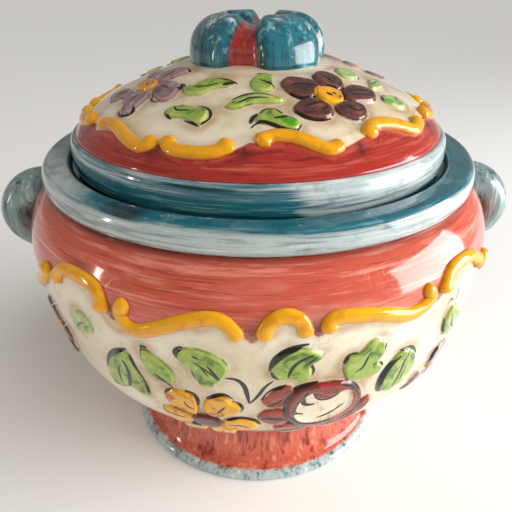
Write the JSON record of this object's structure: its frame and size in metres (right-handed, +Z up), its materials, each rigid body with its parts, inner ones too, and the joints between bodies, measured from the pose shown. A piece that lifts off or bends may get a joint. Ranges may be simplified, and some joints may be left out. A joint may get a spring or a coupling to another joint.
{
  "type": "lidded pot",
  "caption": "Round footed earthenware pot with lug handles and a lift-off domed lid, decorated with raised scrolls, leaves and flowers.",
  "frame": {"origin": "centre of the foot's resting face, which is the bottom centre of the whole pot", "axes": "+Z up along the pot's axis; +X towards the right-hand handle; the decorated front faces -Y"},
  "size_m": [0.26, 0.2274, 0.2156],
  "materials": {
    "bowl_glaze": "glossy cream ground with a red band above it, brushed by hand under a clear glaze",
    "foot_glaze": "glossy red, brushed by hand, with a blue-grey edge",
    "collar_glaze": "glossy pale blue-grey with teal brushed along the top",
    "handle_glaze": "glossy teal, brushed by hand, with blue-grey showing through",
    "dome_glaze": "glossy cream ground with a red band round its edge",
    "flange_glaze": "glossy teal, brushed by hand, over blue-grey",
    "knob_glaze": "glossy teal lobes with red in the grooves between them",
    "scroll_yellow": "glossy deep yellow, shaded with orange-brown",
    "leaf_green": "glossy leaf green with dark brush outlines",
    "daisy_yellow": "glossy yellow petals round a plum-brown centre",
    "rose_red": "glossy red-brown petals with cream inside and dark outlines",
    "lilac": "glossy grey-violet petals round an orange centre",
    "plum": "glossy plum-brown petals round a yellow centre"
  },
  "bodies": {
    "pot": {"bowl_shell": "bowl_glaze", "foot_ring": "foot_glaze", "rim_collar": "collar_glaze", "handle_left": "handle_glaze", "handle_right": "handle_glaze", "bowl_scroll_middle_front": "scroll_yellow", "bowl_scroll_middle_back": "scroll_yellow", "bowl_scroll_left_front": "scroll_yellow", "bowl_scroll_left_back": "scroll_yellow", "bowl_scroll_right_front": "scroll_yellow", "bowl_scroll_right_back": "scroll_yellow", "bowl_scroll_arch_left_front": "scroll_yellow", "bowl_scroll_arch_left_back": "scroll_yellow", "bowl_scroll_arch_right_front": "scroll_yellow", "bowl_scroll_arch_right_back": "scroll_yellow", "bowl_scroll_side_left_front": "scroll_yellow", "bowl_scroll_side_left_back": "scroll_yellow", "bowl_scroll_side_right_front": "scroll_yellow", "bowl_scroll_side_right_back": "scroll_yellow", "bowl_leaves_front": "leaf_green", "bowl_leaves_back": "leaf_green", "bowl_daisy_front": "daisy_yellow", "bowl_daisy_back": "daisy_yellow", "bowl_rose_front": "rose_red", "bowl_rose_back": "rose_red", "bowl_violet_front": "lilac", "bowl_violet_back": "lilac", "bowl_pansy_front": "plum", "bowl_pansy_back": "plum"},
    "lid": {"lid_dome": "dome_glaze", "lid_flange": "flange_glaze", "lid_locating_ring": "flange_glaze", "knob": "knob_glaze", "lid_scroll_left_front": "scroll_yellow", "lid_scroll_left_back": "scroll_yellow", "lid_scroll_middle_front": "scroll_yellow", "lid_scroll_middle_back": "scroll_yellow", "lid_scroll_right_front": "scroll_yellow", "lid_scroll_right_back": "scroll_yellow", "lid_scroll_far_right_front": "scroll_yellow", "lid_scroll_far_right_back": "scroll_yellow", "lid_scroll_side_near_front": "scroll_yellow", "lid_scroll_side_near_back": "scroll_yellow", "lid_scroll_side_far_front": "scroll_yellow", "lid_scroll_side_far_back": "scroll_yellow", "lid_leaves_front": "leaf_green", "lid_leaves_back": "leaf_green", "lid_plum_flower_front": "plum", "lid_plum_flower_back": "plum", "lid_lilac_flower_front": "lilac", "lid_lilac_flower_back": "lilac"}
  },
  "joints": [
    {"name": "lid_lift", "type": "slide", "parent": "pot", "child": "lid", "axis": [0, 0, 1], "range_m": [0, 0.12]}
  ]
}
